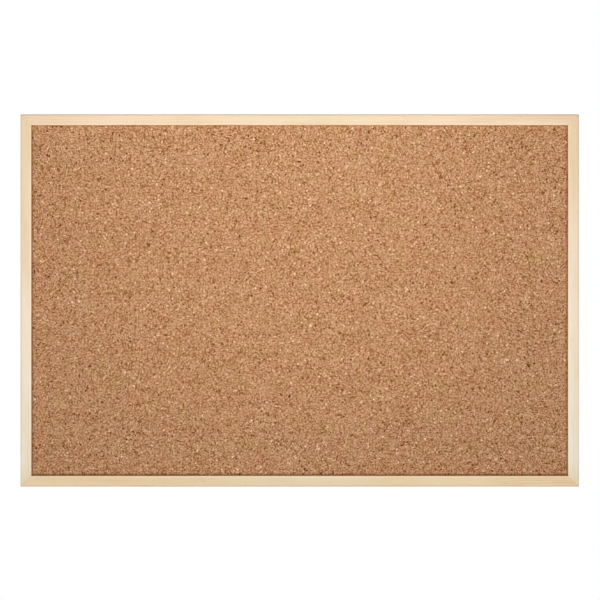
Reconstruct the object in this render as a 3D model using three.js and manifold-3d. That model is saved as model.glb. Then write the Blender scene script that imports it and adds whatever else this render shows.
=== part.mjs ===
// A cork notice board in a mitred pine frame, hung on two D-ring hangers.
// Millimetres. X runs to the right as seen from the front, Y towards the wall and Z up.
// The origin is on the wall, midway between the two hooks that the D-rings hang on.
import * as THREE from "three";
import { mergeVertices } from "three/addons/utils/BufferGeometryUtils.js";
import Module from "manifold-3d";

const wasm = await Module();
wasm.setup();

// Board
const boardWidth = 600;
const boardHeight = 400;

// Rail: a pine moulding with a groove along its inner edge, mitred at both ends
const railFace = 11.5; // width seen from the front
const frontLip = 3.2; // wood in front of the groove
const backLip = 2.7; // wood behind the groove
const grooveDepth = 4;
const outerArris = 1.2; // radius of the front outer edge
const innerArris = 0.6; // radius of the edge beside the cork
const backArris = 0.5; // radius of the back outer edge
const mitreGap = 0.1; // glue line in each mitre

// Panel: three sheets glued into one, slid into the groove
const corkThickness = 2;
const coreThickness = 4;
const backThickness = 2.5;
const glueLine = 0.1;
const faceGap = 0.2; // between each face of the panel and the groove
const edgeGap = 0.5; // between the panel's edge and the floor of the groove
const corkPinch = 0.2; // how far the cork's edge is pressed in under the front lip
const corkReveal = 0.3; // from the lip to where the cork rises to its full thickness

// V-nail: a strip of steel bent to a right angle, driven across the mitre from behind
const nailLeg = 5;
const nailSteel = 0.6;
const nailBend = 1; // radius of the outside of the bend
const nailInset = 3.2; // from both outer faces of the frame to the middle of the legs
const nailSink = 0.2; // below the back of the rail
const nailCover = 4.5; // wood in front of the nails
const nailGap = 0.15; // around each nail
const nailsPerCorner = 2; // stacked, one behind the other

// D-ring hanger: a strap folded round the ring's bar, and one screw
const hangerDrop = 60; // from the top of the board down to the hooks
const seatGap = 0.1; // under whatever lies on the back of a rail
const strapSteel = 0.7; // one of the strap's two layers
const strapWidth = 6.2;
const ringWire = 1.6;
const ringSide = 3.6; // straight part of each side
const ringCorner = 1.2; // bend between the bar and a side, on the wire's centre line
const ringSlack = 0.3; // between the strap and each side of the ring
const eyeGap = 0.3; // between the ring's bar and the eye of the strap
const ringGap = 0.3; // between the raised ring and the rail

// Screw: a pan head with a cross recess
const screwDiameter = 2.5;
const screwCore = 1.8; // diameter between the threads
const threadPitch = 1.1;
const screwTip = 2.2; // length of the point
const screwCover = 4.6; // wood in front of the point
const screwWall = 0.85; // wood between the screw's hole and the groove
const screwHeadGap = 1; // from the lowered ring to the edge of the head
const headDiameter = 5;
const headHeight = 1.4;
const headRim = 0.4; // height of the head's upright edge
const recessSpan = 2.8;
const recessSlot = 0.6;
const recessDepth = 0.9;
const holeGap = 0.2; // around the screw, in the strap and in the rail

// Bumper: a rubber button that keeps the lower edge as far off the wall as the hangers do
const bumperDiameter = 8;
const bumperInset = 36; // from the side of the board
const bumperArris = 1;

// Smoothness of round forms
const arcSteps = 6;
const circleSteps = 28;
const wireSides = 12;
const ringSteps = 72;
const cutOverrun = 1; // how far a cutter stands out of the face that it cuts

// Worked out from the sizes above
const quarterTurn = Math.PI / 2;
const panelThickness = corkThickness + coreThickness + backThickness + 2 * glueLine;
const grooveWidth = panelThickness + 2 * faceGap;
const railDepth = frontLip + grooveWidth + backLip;
const solidWood = railFace - grooveDepth; // from the outer face to the floor of the groove
const panelWidth = boardWidth - 2 * (solidWood + edgeGap);
const panelHeight = boardHeight - 2 * (solidWood + edgeGap);
const nailHeight = (railDepth - nailCover - nailSink) / nailsPerCorner - nailGap;
const eyeInner = ringWire / 2 + eyeGap;
const eyeOuter = eyeInner + strapSteel;
const eyeStand = seatGap + eyeOuter; // from the rail's back to the middle of the eye
const wallGap = eyeStand + eyeOuter; // from the rail's back to the wall
const railBack = -wallGap;
const ringHalf = strapWidth / 2 + ringSlack + ringWire / 2; // from the middle to a side's centre line
const ringReach = ringCorner + ringSide + ringHalf; // from the bar to the top of the ring
const ringLean = Math.asin((eyeStand - ringGap - ringWire / 2) / ringReach);
const eyeDrop = (ringReach - ringWire / 2) * Math.cos(ringLean); // from the hooks to the eye
const screwDrop = ringReach + ringWire / 2 + screwHeadGap + headDiameter / 2; // from eye to screw
const strapThickness = 2 * strapSteel;
const screwSeat = seatGap + strapThickness + seatGap; // from the rail's back to the head
const screwLength = screwSeat + railDepth - screwCover;
const hangerInset = solidWood - screwWall - holeGap - screwDiameter / 2; // from the outer face
const boardMiddle = hangerDrop - boardHeight / 2;

// Materials
const pine = new THREE.MeshStandardMaterial({ color: 0xefd8b6, roughness: 0.55, metalness: 0 });
const cork = new THREE.MeshStandardMaterial({ color: 0xbb8a63, roughness: 0.9, metalness: 0 });
const softboard = new THREE.MeshStandardMaterial({ color: 0xa98c66, roughness: 0.95, metalness: 0 });
const hardboard = new THREE.MeshStandardMaterial({ color: 0x7d573a, roughness: 0.7, metalness: 0 });
const nailMetal = new THREE.MeshStandardMaterial({ color: 0x8f9296, roughness: 0.4, metalness: 1 });
const zincPlate = new THREE.MeshStandardMaterial({ color: 0xc4c8cc, roughness: 0.3, metalness: 1 });
const rubber = new THREE.MeshStandardMaterial({ color: 0x2b2b2b, roughness: 0.8, metalness: 0 });

// Turns a closed geometry into a solid that can be joined and cut.
function toSolid(geometry) {
  const bare = geometry.clone();
  bare.deleteAttribute("normal");
  bare.deleteAttribute("uv");
  const merged = mergeVertices(bare);
  return new wasm.Manifold(
    new wasm.Mesh({
      numProp: 3,
      vertProperties: merged.attributes.position.array,
      triVerts: new Uint32Array(merged.index.array),
    }),
  );
}

function toGeometry(solid) {
  const mesh = solid.getMesh();
  const geometry = new THREE.BufferGeometry();
  geometry.setAttribute("position", new THREE.BufferAttribute(mesh.vertProperties, mesh.numProp));
  geometry.setIndex(new THREE.BufferAttribute(mesh.triVerts, 1));
  geometry.computeVertexNormals();
  return geometry;
}

// Cuts every cutter away from a body.
function cutAway(body, cutters) {
  return toGeometry(cutters.reduce((solid, cutter) => solid.subtract(toSolid(cutter)), toSolid(body)));
}

// Extrudes an outline drawn in Y and Z along X, centred on X = 0.
function extrudeAlongX(outline, length, curveSegments = arcSteps) {
  const geometry = new THREE.ExtrudeGeometry(outline, {
    depth: length,
    bevelEnabled: false,
    curveSegments,
  });
  return geometry.rotateX(quarterTurn).rotateZ(quarterTurn).translate(-length / 2, 0, 0);
}

// Extrudes an outline drawn in X and Z towards the front, from Y = 0 to Y = -depth.
function extrudeToFront(outline, depth, curveSegments = arcSteps) {
  const geometry = new THREE.ExtrudeGeometry(outline, { depth, bevelEnabled: false, curveSegments });
  return geometry.rotateX(quarterTurn);
}

function addMesh(parent, name, geometry, material, position = [0, 0, 0]) {
  const mesh = new THREE.Mesh(geometry, material);
  mesh.name = name;
  mesh.position.set(...position);
  parent.add(mesh);
  return mesh;
}

// The moulding's section: Y = 0 is its back and Z = 0 its outer face.
function railSection() {
  const front = -railDepth;
  const grooveFront = front + frontLip;
  const section = new THREE.Shape();
  section.moveTo(0, railFace);
  section.lineTo(-backLip, railFace);
  section.lineTo(-backLip, solidWood);
  section.lineTo(grooveFront, solidWood);
  section.lineTo(grooveFront, railFace);
  section.lineTo(front + innerArris, railFace);
  section.absarc(front + innerArris, railFace - innerArris, innerArris, quarterTurn, 2 * quarterTurn);
  section.lineTo(front, outerArris);
  section.absarc(front + outerArris, outerArris, outerArris, 2 * quarterTurn, 3 * quarterTurn);
  section.lineTo(-backArris, 0);
  section.absarc(-backArris, backArris, backArris, -quarterTurn, 0);
  section.closePath();
  return section;
}

// A V-nail's outline seen from behind. Its legs lie along +X and +Z and would meet at the origin.
function nailOutline(grow) {
  const half = nailSteel / 2 + grow;
  const leg = nailLeg + grow;
  const centre = nailBend - nailSteel / 2; // of both arcs of the bend
  const outline = new THREE.Shape();
  outline.absarc(centre, centre, nailBend + grow, Math.PI, 3 * quarterTurn);
  outline.lineTo(leg, -half);
  outline.lineTo(leg, half);
  outline.absarc(centre, centre, nailBend - nailSteel - grow, 3 * quarterTurn, Math.PI, true);
  outline.lineTo(half, leg);
  outline.lineTo(-half, leg);
  outline.closePath();
  return outline;
}

// The pocket that a corner's nails are driven into, open at the back of the rail.
function nailPocket(x, turn) {
  const depth = nailSink + nailsPerCorner * (nailHeight + nailGap);
  const pocket = extrudeToFront(nailOutline(nailGap), depth + cutOverrun);
  return pocket.rotateY(turn).translate(x, cutOverrun, nailInset);
}

// The hole that a hanger's screw is driven into.
function pilotHole(x) {
  const depth = screwLength - screwSeat + holeGap;
  const hole = new THREE.CylinderGeometry(
    screwDiameter / 2 + holeGap,
    screwDiameter / 2 + holeGap,
    depth + cutOverrun,
    circleSteps,
  );
  return hole.translate(x, (cutOverrun - depth) / 2, hangerInset);
}

// A rail lies along X with its outer face down. Its ends slope inwards at 45 degrees.
function railGeometry(length, pilotHoles) {
  const geometry = extrudeAlongX(railSection(), length);
  const position = geometry.attributes.position;
  const mitreShift = mitreGap / Math.SQRT2;
  for (let i = 0; i < position.count; i++) {
    const end = length / 2 - position.getZ(i) - mitreShift;
    position.setX(i, Math.sign(position.getX(i)) * end);
  }
  const nailX = length / 2 - nailInset;
  return cutAway(geometry, [
    nailPocket(-nailX, 0),
    nailPocket(nailX, -quarterTurn),
    ...pilotHoles.map(pilotHole),
  ]);
}

// The strap seen from its side: two layers of steel that part to go round the ring's bar.
function strapGeometry() {
  const endRadius = strapWidth / 2;
  const length = screwDrop + endRadius;
  const tailMeetsEye = Math.acos((strapThickness - eyeOuter) / eyeOuter);
  const side = new THREE.Shape();
  side.moveTo(0, -length);
  side.lineTo(0, 0);
  side.absarc(eyeOuter, 0, eyeOuter, Math.PI, -tailMeetsEye, true);
  side.lineTo(strapThickness, -length);
  side.closePath();
  side.holes.push(new THREE.Path().absarc(eyeOuter, 0, eyeInner, 0, 2 * Math.PI));

  const plan = new THREE.Shape();
  plan.moveTo(endRadius, eyeOuter + cutOverrun);
  plan.lineTo(-endRadius, eyeOuter + cutOverrun);
  plan.absarc(0, -screwDrop, endRadius, Math.PI, 2 * Math.PI);
  plan.closePath();
  const planDepth = 2 * eyeOuter + 2 * cutOverrun;
  const planSolid = extrudeToFront(plan, planDepth, circleSteps / 2).translate(0, 2 * eyeOuter + cutOverrun, 0);

  const holeRadius = screwDiameter / 2 + holeGap;
  const hole = new THREE.CylinderGeometry(holeRadius, holeRadius, planDepth, circleSteps);
  hole.translate(0, eyeOuter, -screwDrop);
  return toGeometry(
    toSolid(extrudeAlongX(side, strapWidth + 2 * cutOverrun, circleSteps / 2))
      .intersect(toSolid(planSolid))
      .subtract(toSolid(hole)),
  );
}

// The centre line of the ring's wire, in X and Z, with the bar along Z = 0.
class RingLine extends THREE.Curve {
  constructor() {
    super();
    const cornerX = ringHalf - ringCorner;
    const archZ = ringCorner + ringSide;
    this.line = new THREE.Path();
    this.line.moveTo(-cornerX, 0);
    this.line.lineTo(cornerX, 0);
    this.line.absarc(cornerX, ringCorner, ringCorner, -quarterTurn, 0);
    this.line.lineTo(ringHalf, archZ);
    this.line.absarc(0, archZ, ringHalf, 0, Math.PI);
    this.line.lineTo(-ringHalf, ringCorner);
    this.line.absarc(-cornerX, ringCorner, ringCorner, Math.PI, 3 * quarterTurn);
  }

  getPoint(t, target = new THREE.Vector3()) {
    const { x, y } = this.line.getPoint(t);
    return target.set(x, 0, y);
  }
}

// The screw stands on Y = 0, the underside of its head, with its point at -Y.
function screwGeometry() {
  const half = (diameter) => diameter / 2;
  const profile = [[0, -screwLength]];
  for (let y = screwTip - screwLength; y < -threadPitch; y += threadPitch) {
    profile.push([half(screwCore), y], [half(screwDiameter), y + threadPitch / 2]);
  }
  profile.push([half(screwCore), -threadPitch / 2], [half(screwCore), 0], [half(headDiameter), 0]);
  for (let i = 0; i <= arcSteps; i++) {
    const angle = (i / arcSteps) * quarterTurn;
    profile.push([half(headDiameter) * Math.cos(angle), headRim + (headHeight - headRim) * Math.sin(angle)]);
  }
  profile[profile.length - 1][0] = 0; // the last point lies on the axis
  const body = new THREE.LatheGeometry(
    profile.map(([radius, y]) => new THREE.Vector2(radius, y)),
    circleSteps,
  );
  const slot = () =>
    new THREE.BoxGeometry(recessSpan, recessDepth + cutOverrun, recessSlot).translate(
      0,
      headHeight + (cutOverrun - recessDepth) / 2,
      0,
    );
  return cutAway(body, [slot(), slot().rotateY(quarterTurn)]);
}

// The bumper stands on Y = 0 and bears on the wall with a flat face.
function bumperGeometry() {
  const radius = bumperDiameter / 2;
  const height = wallGap - seatGap;
  const profile = [new THREE.Vector2(0, 0), new THREE.Vector2(radius, 0)];
  for (let i = 0; i <= arcSteps; i++) {
    const angle = (i / arcSteps) * quarterTurn;
    profile.push(
      new THREE.Vector2(
        radius - bumperArris * (1 - Math.cos(angle)),
        height - bumperArris * (1 - Math.sin(angle)),
      ),
    );
  }
  profile.push(new THREE.Vector2(0, height));
  return new THREE.LatheGeometry(profile, circleSteps);
}

function addRails(board) {
  const screwZ = -boardMiddle - eyeDrop - screwDrop; // from the middle of a side rail
  const rails = [
    { name: "bottom_rail", length: boardWidth, x: 0, z: -boardHeight / 2, pilots: [] },
    { name: "right_rail", length: boardHeight, x: boardWidth / 2, z: 0, pilots: [screwZ] },
    { name: "top_rail", length: boardWidth, x: 0, z: boardHeight / 2, pilots: [] },
    { name: "left_rail", length: boardHeight, x: -boardWidth / 2, z: 0, pilots: [-screwZ] },
  ];
  rails.forEach(({ name, length, x, z, pilots }, side) => {
    const mesh = addMesh(board, name, railGeometry(length, pilots), pine, [x, railBack, z]);
    mesh.rotation.y = -side * quarterTurn;
  });
}

function sheetGeometry(thickness) {
  return new THREE.BoxGeometry(panelWidth, thickness, panelHeight);
}

// The cork is at its full thickness only where it shows: the frame presses its edge in.
function corkGeometry() {
  const margin = 2 * (railFace + corkReveal);
  const face = new THREE.BoxGeometry(
    boardWidth - margin,
    corkThickness + corkPinch,
    boardHeight - margin,
  ).translate(0, -corkPinch / 2, 0);
  return toGeometry(toSolid(sheetGeometry(corkThickness)).add(toSolid(face)));
}

function addPanel(board) {
  const corkY = railBack - railDepth + frontLip + faceGap + corkThickness / 2;
  const coreY = corkY + corkThickness / 2 + glueLine + coreThickness / 2;
  const backY = coreY + coreThickness / 2 + glueLine + backThickness / 2;
  addMesh(board, "cork_sheet", corkGeometry(), cork, [0, corkY, 0]);
  addMesh(board, "softboard_core", sheetGeometry(coreThickness), softboard, [0, coreY, 0]);
  addMesh(board, "hardboard_back", sheetGeometry(backThickness), hardboard, [0, backY, 0]);
}

function addNails(board) {
  const x = boardWidth / 2 - nailInset;
  const z = boardHeight / 2 - nailInset;
  const corners = [
    { name: "bottom_left", x: -x, z: -z },
    { name: "bottom_right", x, z: -z },
    { name: "top_right", x, z },
    { name: "top_left", x: -x, z },
  ];
  corners.forEach((corner, turn) => {
    for (let i = 0; i < nailsPerCorner; i++) {
      const y = railBack - nailSink - i * (nailHeight + nailGap);
      const nail = extrudeToFront(nailOutline(0), nailHeight);
      const name = `v_nail_${corner.name}_${i + 1}`;
      addMesh(board, name, nail, nailMetal, [corner.x, y, corner.z]).rotation.y = -turn * quarterTurn;
    }
  });
}

function addHanger(side, x) {
  const hanger = new THREE.Group();
  hanger.position.set(x, railBack, -eyeDrop);
  addMesh(hanger, `strap_${side}`, strapGeometry(), zincPlate, [0, seatGap, 0]);
  const ring = new THREE.TubeGeometry(new RingLine(), ringSteps, ringWire / 2, wireSides, true);
  addMesh(hanger, `d_ring_${side}`, ring, zincPlate, [0, eyeStand, 0]).rotation.x = ringLean;
  addMesh(hanger, `screw_${side}`, screwGeometry(), zincPlate, [0, screwSeat, -screwDrop]);
  return hanger;
}

function addBumpers(board) {
  const z = railFace / 2 - boardHeight / 2;
  for (const [side, sign] of [["left", -1], ["right", 1]]) {
    const x = sign * (boardWidth / 2 - bumperInset);
    addMesh(board, `bumper_${side}`, bumperGeometry(), rubber, [x, railBack + seatGap, z]);
  }
}

const noticeBoard = new THREE.Group();
const board = new THREE.Group();
board.position.z = boardMiddle;
addRails(board);
addPanel(board);
addNails(board);
addBumpers(board);
const hangerX = boardWidth / 2 - hangerInset;
noticeBoard.add(board, addHanger("left", -hangerX), addHanger("right", hangerX));

export default noticeBoard;
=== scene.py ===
import math
from functools import partial

import bmesh
import bpy
import numpy as np
from mathutils import Matrix, Vector, noise


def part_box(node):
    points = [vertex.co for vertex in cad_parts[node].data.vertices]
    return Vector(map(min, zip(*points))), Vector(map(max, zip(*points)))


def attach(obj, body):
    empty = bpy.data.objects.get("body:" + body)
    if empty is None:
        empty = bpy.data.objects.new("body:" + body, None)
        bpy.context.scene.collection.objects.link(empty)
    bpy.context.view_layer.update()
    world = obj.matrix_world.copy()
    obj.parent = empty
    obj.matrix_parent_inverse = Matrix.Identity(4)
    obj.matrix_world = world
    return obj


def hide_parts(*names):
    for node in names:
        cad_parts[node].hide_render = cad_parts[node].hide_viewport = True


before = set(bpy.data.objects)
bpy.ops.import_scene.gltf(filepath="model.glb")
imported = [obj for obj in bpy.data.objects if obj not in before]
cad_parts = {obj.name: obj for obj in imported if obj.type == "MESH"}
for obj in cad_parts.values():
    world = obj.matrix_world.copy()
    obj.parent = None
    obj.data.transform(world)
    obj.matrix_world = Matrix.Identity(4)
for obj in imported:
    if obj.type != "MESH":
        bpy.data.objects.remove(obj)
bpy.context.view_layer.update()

mm = 0.001  # the frame is in metres, and the sizes of the pieces below are in millimetres

# Where the frame puts the board
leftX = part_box("left_rail")[0].x
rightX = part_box("right_rail")[1].x
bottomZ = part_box("bottom_rail")[0].z
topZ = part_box("top_rail")[1].z
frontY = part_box("top_rail")[0].y
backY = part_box("top_rail")[1].y
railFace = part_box("left_rail")[1].x - leftX
boardWidth = rightX - leftX
boardHeight = topZ - bottomZ
middle = Vector(((leftX + rightX) / 2, frontY, (bottomZ + topZ) / 2))


def linear(hexColour):
    channels = [int(hexColour[i:i + 2], 16) / 255 for i in (1, 3, 5)]
    return tuple(c / 12.92 if c <= 0.04045 else ((c + 0.055) / 1.055) ** 2.4 for c in channels) + (1,)


# Camera, square on to the board
view = {
    "widthPx": 558.6,  # the board's width in the photograph
    "imagePx": 600,
    "centrePx": (299.7, 300.5),
    "lens": 90,
    "sensor": 36,
    "clip": (0.01, 20),  # metres
}


def makeCamera():
    perPx = boardWidth / view["widthPx"]
    distance = perPx * view["imagePx"] * view["lens"] / view["sensor"]
    half = view["imagePx"] / 2
    data = bpy.data.cameras.new("camera")
    data.lens = view["lens"]
    data.sensor_width = view["sensor"]
    data.clip_start, data.clip_end = view["clip"]
    camera = bpy.data.objects.new("camera", data)
    camera.location = middle + Vector((
        (half - view["centrePx"][0]) * perPx,
        -distance,
        (view["centrePx"][1] - half) * perPx,
    ))
    camera.rotation_euler = (math.radians(90), 0, 0)
    bpy.context.scene.collection.objects.link(camera)
    bpy.context.scene.camera = camera


makeCamera()
print("camera")


# Adds a node and gives back one of its outputs. Inputs are values or other nodes' outputs, stops
# are those of a colour ramp, and settings are the node's own. The colours of a Mix node are its
# inputs 6 and 7 and its output 2.
def addNode(tree, kind, inputs=(), output=0, stops=None, **settings):
    node = tree.nodes.new("ShaderNode" + kind)
    for name, value in settings.items():
        setattr(node, name, value)
    for name, value in inputs.items() if isinstance(inputs, dict) else enumerate(inputs):
        if isinstance(value, bpy.types.NodeSocket):
            tree.links.new(value, node.inputs[name])
        else:
            node.inputs[name].default_value = value
    if stops:
        elements = node.color_ramp.elements
        while len(elements) < len(stops):
            elements.new(1)
        for element, (place, colour) in zip(elements, stops):
            element.position = place
            element.color = linear(colour)
    return node.outputs[output] if len(node.outputs) else node


# A new material, its shader, its own addNode, and the place on its piece in millimetres
def newMaterial(name, **surface):
    material = bpy.data.materials.new(name)
    material.use_nodes = True
    shader = material.node_tree.nodes["Principled BSDF"]
    for socket, value in surface.items():
        shader.inputs[socket].default_value = value
    add = partial(addNode, material.node_tree)
    place = add("VectorMath", {0: add("TexCoord", output="Object"), "Scale": 1 / mm}, operation="SCALE")
    return material, shader, add, place


# Links outputs to a shader's inputs, which are named with _ for a space
def wire(shader, **sockets):
    for name, source in sockets.items():
        shader.id_data.links.new(source, shader.inputs[name.replace("_", " ")])


# How far a point lies inside the board's outline, across and up, in millimetres
def insideBoard(add, place):
    away = add("VectorMath", (place, tuple(middle / mm)), operation="SUBTRACT")
    away = add("SeparateXYZ", (add("VectorMath", (away,), operation="ABSOLUTE"),))
    across = add("Math", (boardWidth / 2 / mm, away), operation="SUBTRACT")
    up = add("Math", (boardHeight / 2 / mm, away.node.outputs["Z"]), operation="SUBTRACT")
    return across, up


# Agglomerated cork: bark granules pressed with a binder, sliced and sanded. Matt and porous, each
# granule its own brown, with dark bark specks, pale flecks and thin dark lines of binder between.
# Tones are shares of the way up the browns.
corkFinish = {
    "granule": 3.4,  # mm across
    "granuleTone": 0.04,
    "crumb": 1.15,  # mm across
    "smoothTone": 0.25,  # between crumbs of a granule that was cut smooth
    "groundTone": 0.565,  # between crumbs of one that was ground to bits
    "bends": 0.6,  # of an outline, in the width of a crumb
    "stray": 1.8,  # crumbs that an outline wanders
    "grit": 0.45,  # mm
    "gritTone": 0.36,
    "patch": 45,  # mm, slow change of tone over the sheet
    "patchTone": 0.05,
    "binder": 0.26,  # mm, half the width of a binder line
    "binderTone": 0.335,
    "speck": 1.9,  # mm
    "speckReach": 0.5,  # of its own size
    "barkShare": 0.028,  # of the specks
    "barkTone": -0.52,
    "fleckShare": 0.0255,
    "fleckTone": 0.45,
    "tone": 0.35,
    "browns": [(0.0, "#562300"), (0.2, "#82460c"), (0.36, "#a97246"), (0.5, "#c3926a"),
               (0.66, "#d6a883"), (0.83, "#e9c09c"), (1.0, "#f9d9b8")],
    "blush": 17,  # mm, slow change between straw and pink
    "blushTints": [(0.3, "#fcfff1"), (0.5, "#ffffff"), (0.7, "#fff8f4")],
    "edgeBand": 1.8,  # mm, darker beside the frame: painted shade of the step up to the frame's lip
    "edgeShade": 0.74,
    "sideBand": 2.6,  # mm, the same painted shade beside the side rails, wider and darker
    "sideShade": 0.6,
    "relief": 0.1,  # mm
    "granuleRise": 0.3,  # of the relief
    "binderSink": -2.0,
    "gloss": 0.1,  # low, because light sinks into the pores
    "roughness": (0.97, 0.8),  # of the darkest and the palest brown
}


def corkMaterial():
    c = corkFinish
    material, shader, add, place = newMaterial("agglomerated_cork", Roughness=0.9, IOR=1.45)
    shader.inputs["Specular IOR Level"].default_value = c["gloss"]
    flat = place
    bend = add("TexNoise", {"Vector": place, "Scale": c["bends"] / c["crumb"], "Detail": 2.0}, "Color")
    bend = add("VectorMath", (bend, (0.5, 0.5, 0.5)), operation="SUBTRACT")
    bend = add("VectorMath", {0: bend, "Scale": c["stray"] * c["crumb"]}, operation="SCALE")
    place = add("VectorMath", (place, bend), operation="ADD")

    granule = add("TexVoronoi", {"Vector": place, "Scale": 1 / c["granule"]}, "Color")
    crumb = add("TexVoronoi", {"Vector": place, "Scale": 1 / c["crumb"]}, "Color")
    granule = add("SeparateColor", (granule,))
    crumb = add("Math", (add("SeparateColor", (crumb,)), 0.5), operation="SUBTRACT")
    crumbly = add("MapRange", {"Value": granule.node.outputs["Blue"], "To Min": c["smoothTone"],
                               "To Max": c["groundTone"]})
    tone = add("Math", (crumb, crumbly, c["tone"]), operation="MULTIPLY_ADD")
    own = add("Math", (granule, 0.5), operation="SUBTRACT")
    tone = add("Math", (own, c["granuleTone"], tone), operation="MULTIPLY_ADD")
    grit = add("TexNoise", {"Vector": place, "Scale": 1 / c["grit"], "Detail": 3.0, "Roughness": 0.6})
    tone = add("Math", (grit, c["gritTone"], tone), operation="MULTIPLY_ADD")
    patch = add("TexNoise", {"Vector": flat, "Scale": 1 / c["patch"], "Detail": 2.0})
    patch = add("Math", (patch, 0.5), operation="SUBTRACT")
    tone = add("Math", (patch, c["patchTone"], tone), operation="MULTIPLY_ADD")

    edge = add("TexVoronoi", {"Vector": place, "Scale": 1 / c["granule"]}, "Distance",
               feature="DISTANCE_TO_EDGE")
    line = add("MapRange", {"Value": edge, "From Max": c["binder"] / c["granule"],
                            "To Min": c["binderTone"], "To Max": 0.0}, interpolation_type="SMOOTHSTEP")
    tone = add("Math", (tone, line), operation="SUBTRACT")

    speck = add("TexVoronoi", {"Vector": place, "Scale": 1 / c["speck"]}, "Distance")
    kind = add("SeparateColor", (speck.node.outputs["Color"],))
    near = add("Math", (speck, c["speckReach"]), operation="LESS_THAN")
    bark = add("Math", (kind, 1 - c["barkShare"]), operation="GREATER_THAN")
    bark = add("Math", (bark, near), operation="MULTIPLY")
    fleck = add("Math", (kind, c["fleckShare"]), operation="LESS_THAN")
    fleck = add("Math", (fleck, near), operation="MULTIPLY")
    tone = add("Math", (bark, c["barkTone"], tone), operation="MULTIPLY_ADD")
    tone = add("Math", (fleck, c["fleckTone"], tone), operation="MULTIPLY_ADD")
    brown = add("ValToRGB", (tone,), stops=c["browns"])

    blush = add("TexNoise", {"Vector": flat, "Scale": 1 / c["blush"], "Detail": 3.0})
    tints = [add("ValToRGB", (blush,), stops=c["blushTints"])]
    # Painted shade beside the frame: the cork darkens in a band along each rail, where the lip stands over
    # it
    lip = railFace / mm
    for inside, what in zip(insideBoard(add, flat), ("side", "edge")):
        tints.append(add("MapRange", {"Value": inside, "From Min": lip, "From Max": lip + c[what + "Band"],
                                      "To Min": c[what + "Shade"]}, interpolation_type="SMOOTHSTEP"))
    for tint in tints:
        brown = add("Mix", {0: 1.0, 6: brown, 7: tint}, 2, data_type="RGBA", blend_type="MULTIPLY")

    rise = granule.node.outputs["Green"]
    height = add("Math", (rise, c["granuleRise"], tone), operation="MULTIPLY_ADD")
    height = add("Math", (line, c["binderSink"], height), operation="MULTIPLY_ADD")
    bump = add("Bump", {"Strength": 0.6, "Distance": c["relief"] * mm, "Height": height})
    matt, sleek = c["roughness"]
    rough = add("MapRange", {"Value": tone, "To Min": matt, "To Max": sleek})
    wire(shader, Base_Color=brown, Normal=bump, Roughness=rough)
    return material


# Pine: planed, sanded, thin matt lacquer. Pale early wood with narrow honey-coloured late wood in
# long lines down each rail, which gives soft streaks and a low sheen.
pineFinish = {
    "ring": 2.3,  # mm between growth rings
    "ringTilt": 0.5,  # of the rings' growth runs towards the front
    "sway": 6,  # rings that the lines wander slowly
    "jitter": 0.9,  # rings that they wander quickly
    "lateWood": 0.45,  # share of a ring that darkens
    "ringEnd": 0.97,  # where in a ring its dark wood ends
    "faintRing": 0.15,  # of the strongest
    "lateTone": 0.36,
    "fibreTone": 0.5,
    "cloudTone": 0.5,
    "runs": {  # mm across and along the grain
        "sway": (26, 320),
        "jitter": (5, 60),
        "strength": (9, 120),
        "fibre": (0.35, 14),
        "cloud": (12, 84),
        "canal": (1.7, 9),
    },
    "tones": [(0.2, "#fffaf0"), (0.5, "#fdf3e2"), (0.85, "#eed9b8")],
    "canalShare": 0.1,  # of the places where a resin canal could be
    "canalReach": 0.16,  # of such a place
    "canalTone": 0.35,
    "canalBrown": "#b98a57",
    "arrisShadeBand": 1.5,  # mm of the outer arris, painted darker as a thin outline of painted shade
    "highlightBand": 2.4,  # mm, paler beside the cork: a painted highlight on the inner arris
    "relief": 0.05,  # mm
    "ringRise": 0.6,  # of the relief
    "coat": 0.08,
    "coatRoughness": 0.35,
    "roughness": (0.58, 0.46),  # of early and late wood
}


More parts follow.
